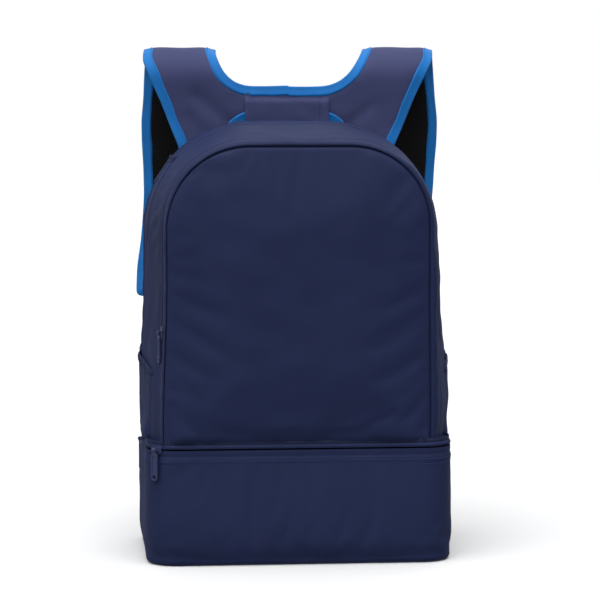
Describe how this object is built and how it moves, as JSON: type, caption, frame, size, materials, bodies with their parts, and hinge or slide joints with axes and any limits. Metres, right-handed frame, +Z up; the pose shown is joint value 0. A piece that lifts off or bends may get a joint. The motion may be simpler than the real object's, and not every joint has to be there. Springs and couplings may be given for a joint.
{
  "type": "racket backpack",
  "caption": "Soft backpack with an arched main body, a front pocket, a zipped shoe compartment below, side pockets and padded shoulder straps on a yoke.",
  "frame": {"origin": "on the floor under the middle of the bag's body", "axes": "+X is the bag's right side as seen from the front, -Y is the front, +Y is the wearer's side, +Z is up"},
  "size_m": [0.3123, 0.236, 0.504],
  "materials": {
    "navy_fabric": "matt woven polyester with a faint sheen",
    "navy_trim": "ribbed woven tape",
    "blue_binding": "fine ribbed binding tape, folded over the edges",
    "black_mesh": "three-layer spacer mesh with small holes",
    "lining": "plain weave lining",
    "foam": "closed-cell foam",
    "board": "smooth sheet",
    "zip": "woven zip tape with a nylon coil",
    "slider_metal": "satin painted die casting",
    "lock_plastic": "moulded nylon with a light grain",
    "webbing": "ribbed webbing"
  },
  "bodies": {
    "bag": {"back_mesh_cover": "black_mesh", "back_foam": "foam", "back_lining": "lining", "rear_gusset": "navy_fabric", "side_panel_left": "navy_fabric", "side_panel_right": "navy_fabric", "partition_lower": "lining", "pocket_panel_lower": "navy_fabric", "main_zip_rear_half": "zip", "shoe_zip_upper_half": "zip", "shoe_zip_side_halves": "zip", "base_floor": "navy_fabric", "base_board": "board", "divider_floor": "lining", "shoe_side_left": "navy_fabric", "shoe_side_right": "navy_fabric", "side_pocket_left": "navy_fabric", "side_pocket_right": "navy_fabric", "pocket_hems": "navy_trim", "yoke_fabric": "navy_fabric", "yoke_foam": "foam", "yoke_mesh": "black_mesh", "yoke_centre_tab": "navy_fabric", "neck_binding": "blue_binding", "yoke_lower_binding": "blue_binding", "outer_binding_left": "blue_binding", "outer_binding_right": "blue_binding", "inner_bindings": "blue_binding", "strap_fabric_left": "navy_fabric", "strap_fabric_right": "navy_fabric", "strap_foams": "foam", "strap_mesh_left": "black_mesh", "strap_mesh_right": "black_mesh", "buckle_loops": "webbing", "lower_webbing_left": "webbing", "lower_webbing_right": "webbing", "strap_anchors": "navy_trim"},
    "main_lid": {"lid_gusset": "navy_fabric", "lid_partition": "lining", "main_zip_front_half": "zip", "pocket_zip_rear_half": "zip"},
    "pocket_flap": {"pocket_panel_upper": "navy_fabric", "pocket_zip_front_half": "zip"},
    "shoe_flap": {"shoe_flap_wall": "navy_fabric", "shoe_zip_lower_half": "zip"},
    "lock_left": {"ladder_lock_left": "lock_plastic", "adjuster_webbing_left": "webbing"},
    "lock_right": {"ladder_lock_right": "lock_plastic", "adjuster_webbing_right": "webbing"},
    "main_slider": {"main_slider": "slider_metal"},
    "main_pull": {"main_pull": "slider_metal"},
    "pocket_slider": {"pocket_slider": "slider_metal"},
    "pocket_pull": {"pocket_pull": "slider_metal"},
    "shoe_front_slider": {"shoe_front_slider": "slider_metal"},
    "shoe_front_pull": {"shoe_front_pull": "slider_metal"},
    "shoe_side_slider": {"shoe_side_slider": "slider_metal"},
    "shoe_side_pull": {"shoe_side_pull": "slider_metal"}
  },
  "joints": [
    {"name": "main_lid_fold", "type": "hinge", "parent": "bag", "child": "main_lid", "pos_m": [0, -0.086, 0.216], "axis": [1, 0, 0], "range_deg": [0, 45]},
    {"name": "pocket_flap_fold", "type": "hinge", "parent": "main_lid", "child": "pocket_flap", "pos_m": [0, -0.086, 0.216], "axis": [1, 0, 0], "range_deg": [0, 60]},
    {"name": "shoe_flap_fold", "type": "hinge", "parent": "bag", "child": "shoe_flap", "pos_m": [0, -0.088, 0.003], "axis": [1, 0, 0], "range_deg": [0, 60]},
    {"name": "main_slider_travel", "type": "hinge", "parent": "bag", "child": "main_slider", "pos_m": [-0.035, 0.02, 0.317], "axis": [0, 1, 0], "range_deg": [-38, 44]},
    {"name": "main_pull_swing", "type": "hinge", "parent": "main_slider", "child": "main_pull", "pos_m": [-0.12076, 0.02, 0.39422], "axis": [0, 1, 0], "range_deg": [0, 160]},
    {"name": "pocket_slider_travel", "type": "slide", "parent": "main_lid", "child": "pocket_slider", "axis": [0, 0, 1], "range_m": [0, 0.09]},
    {"name": "pocket_pull_swing", "type": "hinge", "parent": "pocket_slider", "child": "pocket_pull", "pos_m": [-0.13657, -0.06306, 0.226], "axis": [-0.1799, 0.9837, 0], "range_deg": [0, 160]},
    {"name": "shoe_front_slider_travel", "type": "hinge", "parent": "bag", "child": "shoe_front_slider", "pos_m": [-0.12, -0.058, 0.114], "axis": [0, 0, 1], "range_deg": [-35, 22]},
    {"name": "shoe_front_pull_swing", "type": "hinge", "parent": "shoe_front_slider", "child": "shoe_front_pull", "pos_m": [-0.14211, -0.08435, 0.114], "axis": [-0.766, 0.6428, 0], "range_deg": [0, 150]},
    {"name": "shoe_side_slider_travel", "type": "slide", "parent": "bag", "child": "shoe_side_slider", "axis": [0, -1, 0], "range_m": [0, 0.04]},
    {"name": "shoe_side_pull_swing", "type": "hinge", "parent": "shoe_side_slider", "child": "shoe_side_pull", "pos_m": [-0.1544, -0.002, 0.114], "axis": [0, 1, 0], "range_deg": [0, 150]},
    {"name": "lock_left_tilt", "type": "hinge", "parent": "bag", "child": "lock_left", "pos_m": [-0.121, 0.12452, 0.23757], "axis": [1, 0, 0], "range_deg": [0, 30]},
    {"name": "lock_right_tilt", "type": "hinge", "parent": "bag", "child": "lock_right", "pos_m": [0.121, 0.12452, 0.23757], "axis": [1, 0, 0], "range_deg": [0, 30]}
  ]
}
